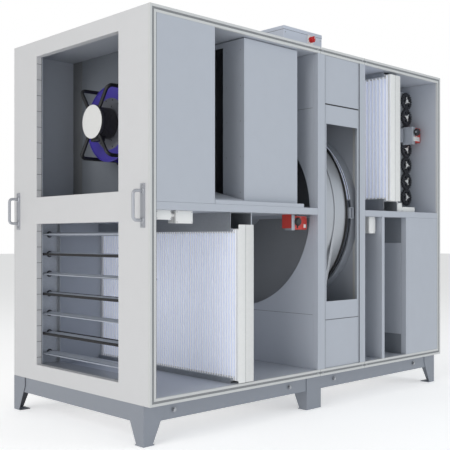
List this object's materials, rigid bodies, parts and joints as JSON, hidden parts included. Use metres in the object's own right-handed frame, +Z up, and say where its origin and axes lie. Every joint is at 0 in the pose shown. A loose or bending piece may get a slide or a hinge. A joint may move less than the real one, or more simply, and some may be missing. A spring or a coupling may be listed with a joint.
{
  "type": "rotary wheel heat recovery unit",
  "caption": "Double deck heat recovery cabinet with a rotary wheel, two plug fans, two pull-out filters, geared dampers and a coil, on a raised base, service side open.",
  "frame": {"origin": "on the ground under the middle of the whole unit's box", "axes": "+X along the cabinet to the right seen from the service side, +Y from the service side to the back, +Z up"},
  "size_m": [2.34, 1.13, 1.995],
  "materials": {
    "end_panel_paint": "smooth satin powder coat, warm light grey",
    "inner_paint": "satin powder coat, pale blue grey",
    "frame_profile": "satin anodised profile",
    "seal_rubber": "soft black foam seal",
    "base_paint": "satin grey paint",
    "handle_alloy": "satin bar with moulded feet",
    "galvanised": "galvanised sheet with faint spangle",
    "mineral_wool": "fibrous slab",
    "motor_paint": "light grey cast housing",
    "leg_paint": "black powder coat",
    "impeller_plastic": "deep blue moulding",
    "wheel_foil": "wound corrugated foil, bulk density",
    "rim_steel": "rolled sheet rim",
    "dark_steel": "dark grey paint",
    "belt_rubber": "black drive belt",
    "blade_alloy": "extruded blade with dark gear",
    "actuator_red": "orange red housing",
    "filter_card": "white board frame",
    "filter_cloth": "white pleated glass cloth",
    "fin_alloy": "thin fins on tubes",
    "box_paint": "pale blue grey paint",
    "white_plastic": "white moulding",
    "red_plastic": "red moulding",
    "black_plastic": "black moulding"
  },
  "bodies": {
    "cabinet": {"left_end_panel": "end_panel_paint", "right_end_panel": "end_panel_paint", "roof_panels": "end_panel_paint", "floor_panels": "end_panel_paint", "back_panels": "end_panel_paint", "middle_decks": "inner_paint", "insulation_cores": "mineral_wool", "front_profile": "frame_profile", "door_seals": "seal_rubber", "duct_liners": "inner_paint", "end_handles": "handle_alloy", "base_frames": "base_paint", "feet": "base_paint", "fan_walls": "galvanised", "fan_covers": "inner_paint", "fan_motors": "motor_paint", "fan_legs": "leg_paint", "rotor_casing": "inner_paint", "rotor_cover": "inner_paint", "wheel_seals": "seal_rubber", "wheel_axle": "galvanised", "wheel_motor": "dark_steel", "wheel_belt": "belt_rubber", "damper_frames": "galvanised", "damper_actuators": "actuator_red", "filter_rails": "galvanised", "bay_plates": "inner_paint", "coil_casing": "inner_paint", "coil_fins": "fin_alloy", "drain_tray": "inner_paint", "control_box": "box_paint", "switch_plate": "white_plastic", "sensor_boxes": "white_plastic", "valve_actuator": "actuator_red"},
    "heat_wheel": {"wheel_matrix": "wheel_foil", "wheel_rim": "rim_steel", "wheel_hub": "rim_steel"},
    "drive_pulley": {"wheel_pulley": "rim_steel"},
    "upper_impeller": {"upper_fan_impeller": "impeller_plastic"},
    "lower_impeller": {"lower_fan_impeller": "impeller_plastic"},
    "left_filter": {"left_filter_frame": "filter_card", "left_filter_media": "filter_cloth"},
    "right_filter": {"right_filter_frame": "filter_card", "right_filter_media": "filter_cloth"},
    "main_switch": {"switch_knob": "red_plastic"},
    "valve_pointer": {"valve_knob": "black_plastic"},
    "lower_louvre_1": {"lower_blade_1": "blade_alloy"},
    "lower_louvre_2": {"lower_blade_2": "blade_alloy"},
    "lower_louvre_3": {"lower_blade_3": "blade_alloy"},
    "lower_louvre_4": {"lower_blade_4": "blade_alloy"},
    "lower_louvre_5": {"lower_blade_5": "blade_alloy"},
    "lower_louvre_6": {"lower_blade_6": "blade_alloy"},
    "lower_louvre_7": {"lower_blade_7": "blade_alloy"},
    "upper_louvre_1": {"upper_blade_1": "blade_alloy"},
    "upper_louvre_2": {"upper_blade_2": "blade_alloy"},
    "upper_louvre_3": {"upper_blade_3": "blade_alloy"},
    "upper_louvre_4": {"upper_blade_4": "blade_alloy"},
    "upper_louvre_5": {"upper_blade_5": "blade_alloy"},
    "upper_louvre_6": {"upper_blade_6": "blade_alloy"},
    "upper_louvre_7": {"upper_blade_7": "blade_alloy"}
  },
  "joints": [
    {"name": "wheel_spin", "type": "hinge", "parent": "cabinet", "child": "heat_wheel", "pos_m": [0.19, 0, 1.025], "axis": [1, 0, 0], "continuous": true},
    {"name": "pulley_spin", "type": "hinge", "parent": "cabinet", "child": "drive_pulley", "pos_m": [0.19, -0.33, 0.284], "axis": [1, 0, 0], "continuous": true},
    {"name": "upper_fan_spin", "type": "hinge", "parent": "cabinet", "child": "upper_impeller", "pos_m": [-0.864, 0, 1.444], "axis": [1, 0, 0], "continuous": true},
    {"name": "lower_fan_spin", "type": "hinge", "parent": "cabinet", "child": "lower_impeller", "pos_m": [0.924, 0, 0.606], "axis": [1, 0, 0], "continuous": true},
    {"name": "left_filter_pull", "type": "slide", "parent": "cabinet", "child": "left_filter", "axis": [0, -1, 0], "range_m": [0, 1]},
    {"name": "right_filter_pull", "type": "slide", "parent": "cabinet", "child": "right_filter", "axis": [0, -1, 0], "range_m": [0, 1]},
    {"name": "main_switch_turn", "type": "hinge", "parent": "cabinet", "child": "main_switch", "pos_m": [0.107, -0.419, 1.953], "axis": [0, 1, 0], "range_deg": [0, 90]},
    {"name": "valve_turn", "type": "hinge", "parent": "cabinet", "child": "valve_pointer", "pos_m": [-0.103, -0.506, 0.9717], "axis": [0, 1, 0], "range_deg": [0, 90]},
    {"name": "lower_louvre_1_turn", "type": "hinge", "parent": "cabinet", "child": "lower_louvre_1", "pos_m": [-1.021, 0, 0.306], "axis": [0, 1, 0], "range_deg": [-90, 0]},
    {"name": "lower_louvre_2_turn", "type": "hinge", "parent": "cabinet", "child": "lower_louvre_2", "pos_m": [-1.021, 0, 0.406], "axis": [0, 1, 0], "range_deg": [0, 90]},
    {"name": "lower_louvre_3_turn", "type": "hinge", "parent": "cabinet", "child": "lower_louvre_3", "pos_m": [-1.021, 0, 0.506], "axis": [0, 1, 0], "range_deg": [-90, 0]},
    {"name": "lower_louvre_4_turn", "type": "hinge", "parent": "cabinet", "child": "lower_louvre_4", "pos_m": [-1.021, 0, 0.606], "axis": [0, 1, 0], "range_deg": [0, 90]},
    {"name": "lower_louvre_5_turn", "type": "hinge", "parent": "cabinet", "child": "lower_louvre_5", "pos_m": [-1.021, 0, 0.706], "axis": [0, 1, 0], "range_deg": [-90, 0]},
    {"name": "lower_louvre_6_turn", "type": "hinge", "parent": "cabinet", "child": "lower_louvre_6", "pos_m": [-1.021, 0, 0.806], "axis": [0, 1, 0], "range_deg": [0, 90]},
    {"name": "lower_louvre_7_turn", "type": "hinge", "parent": "cabinet", "child": "lower_louvre_7", "pos_m": [-1.021, 0, 0.906], "axis": [0, 1, 0], "range_deg": [-90, 0]},
    {"name": "upper_louvre_1_turn", "type": "hinge", "parent": "cabinet", "child": "upper_louvre_1", "pos_m": [1.081, 0, 1.144], "axis": [0, 1, 0], "range_deg": [-90, 0]},
    {"name": "upper_louvre_2_turn", "type": "hinge", "parent": "cabinet", "child": "upper_louvre_2", "pos_m": [1.081, 0, 1.244], "axis": [0, 1, 0], "range_deg": [0, 90]},
    {"name": "upper_louvre_3_turn", "type": "hinge", "parent": "cabinet", "child": "upper_louvre_3", "pos_m": [1.081, 0, 1.344], "axis": [0, 1, 0], "range_deg": [-90, 0]},
    {"name": "upper_louvre_4_turn", "type": "hinge", "parent": "cabinet", "child": "upper_louvre_4", "pos_m": [1.081, 0, 1.444], "axis": [0, 1, 0], "range_deg": [0, 90]},
    {"name": "upper_louvre_5_turn", "type": "hinge", "parent": "cabinet", "child": "upper_louvre_5", "pos_m": [1.081, 0, 1.544], "axis": [0, 1, 0], "range_deg": [-90, 0]},
    {"name": "upper_louvre_6_turn", "type": "hinge", "parent": "cabinet", "child": "upper_louvre_6", "pos_m": [1.081, 0, 1.644], "axis": [0, 1, 0], "range_deg": [0, 90]},
    {"name": "upper_louvre_7_turn", "type": "hinge", "parent": "cabinet", "child": "upper_louvre_7", "pos_m": [1.081, 0, 1.744], "axis": [0, 1, 0], "range_deg": [-90, 0]}
  ],
  "couplings": [
    {"joint": "pulley_spin", "follows": "wheel_spin", "ratio": 13},
    {"joint": "lower_louvre_1_turn", "follows": "lower_louvre_5_turn", "ratio": 1},
    {"joint": "lower_louvre_2_turn", "follows": "lower_louvre_5_turn", "ratio": -1},
    {"joint": "lower_louvre_3_turn", "follows": "lower_louvre_5_turn", "ratio": 1},
    {"joint": "lower_louvre_4_turn", "follows": "lower_louvre_5_turn", "ratio": -1},
    {"joint": "lower_louvre_6_turn", "follows": "lower_louvre_5_turn", "ratio": -1},
    {"joint": "lower_louvre_7_turn", "follows": "lower_louvre_5_turn", "ratio": 1},
    {"joint": "upper_louvre_1_turn", "follows": "upper_louvre_5_turn", "ratio": 1},
    {"joint": "upper_louvre_2_turn", "follows": "upper_louvre_5_turn", "ratio": -1},
    {"joint": "upper_louvre_3_turn", "follows": "upper_louvre_5_turn", "ratio": 1},
    {"joint": "upper_louvre_4_turn", "follows": "upper_louvre_5_turn", "ratio": -1},
    {"joint": "upper_louvre_6_turn", "follows": "upper_louvre_5_turn", "ratio": -1},
    {"joint": "upper_louvre_7_turn", "follows": "upper_louvre_5_turn", "ratio": 1}
  ]
}
